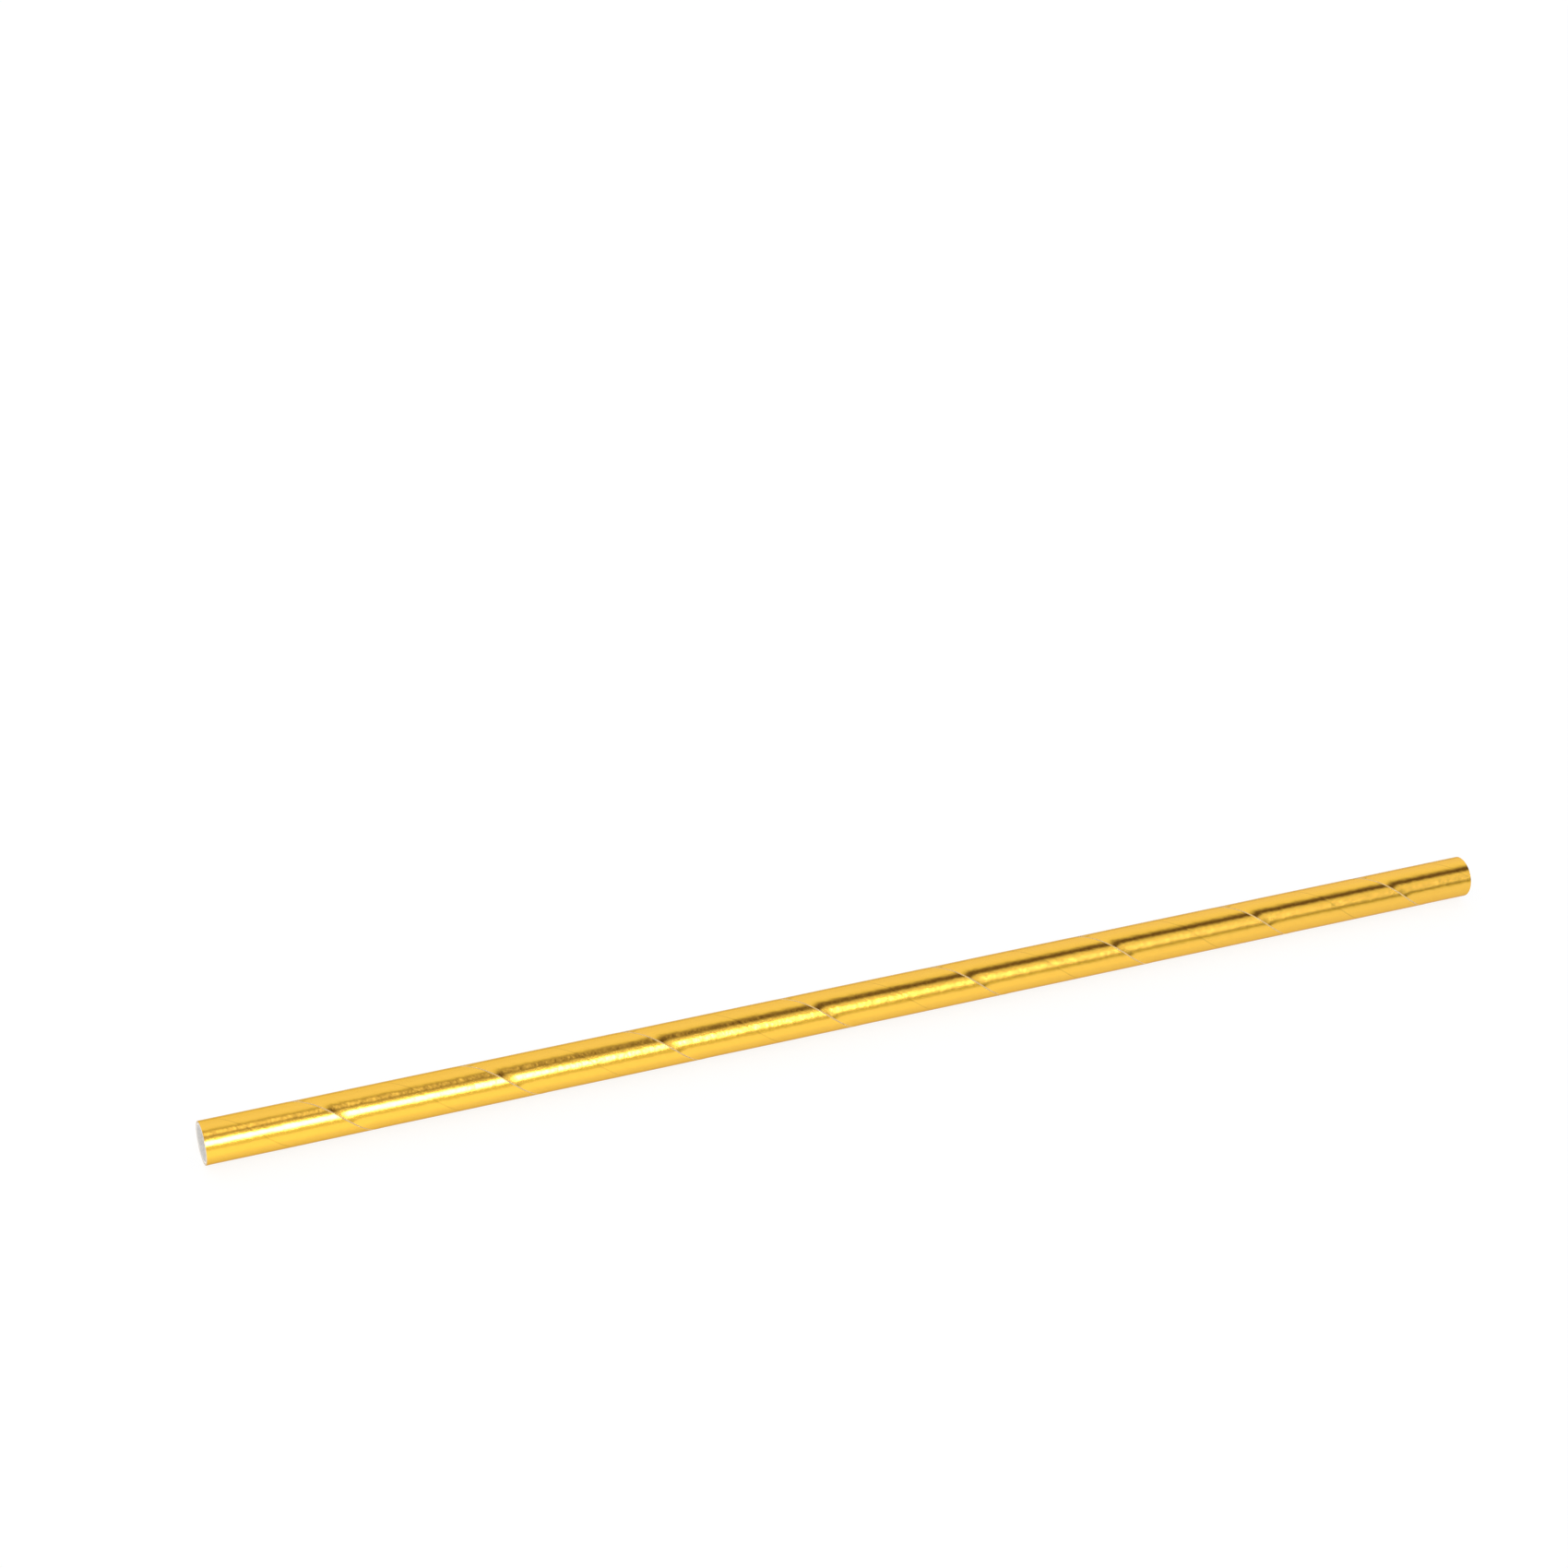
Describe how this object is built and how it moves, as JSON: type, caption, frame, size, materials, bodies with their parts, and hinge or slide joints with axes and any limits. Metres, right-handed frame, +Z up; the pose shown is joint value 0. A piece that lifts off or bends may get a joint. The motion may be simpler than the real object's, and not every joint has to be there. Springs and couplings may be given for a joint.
{
  "type": "foil-faced paper drinking straw",
  "caption": "Straight drinking straw wound in a spiral from strips of paper, with a gold foil face outside, a white paper bore and open cut ends.",
  "frame": {"origin": "middle of the straw's length, on the surface it lies on, below its axis", "axes": "+X along the straw from the near end to the far end, +Z up, so the straw lies on z = 0"},
  "size_m": [0.197, 0.006, 0.006],
  "materials": {
    "gold_foil_paper": "paper strip faced with bright gold metallised foil, mirror-like with a fine crinkle, plain paper on its back and cut edges",
    "core_paper": "uncoated cream paper, matte",
    "white_paper": "uncoated white paper, matte"
  },
  "bodies": {
    "root": {"outer_ply": "gold_foil_paper", "middle_ply": "core_paper", "inner_ply": "white_paper"}
  },
  "joints": []
}
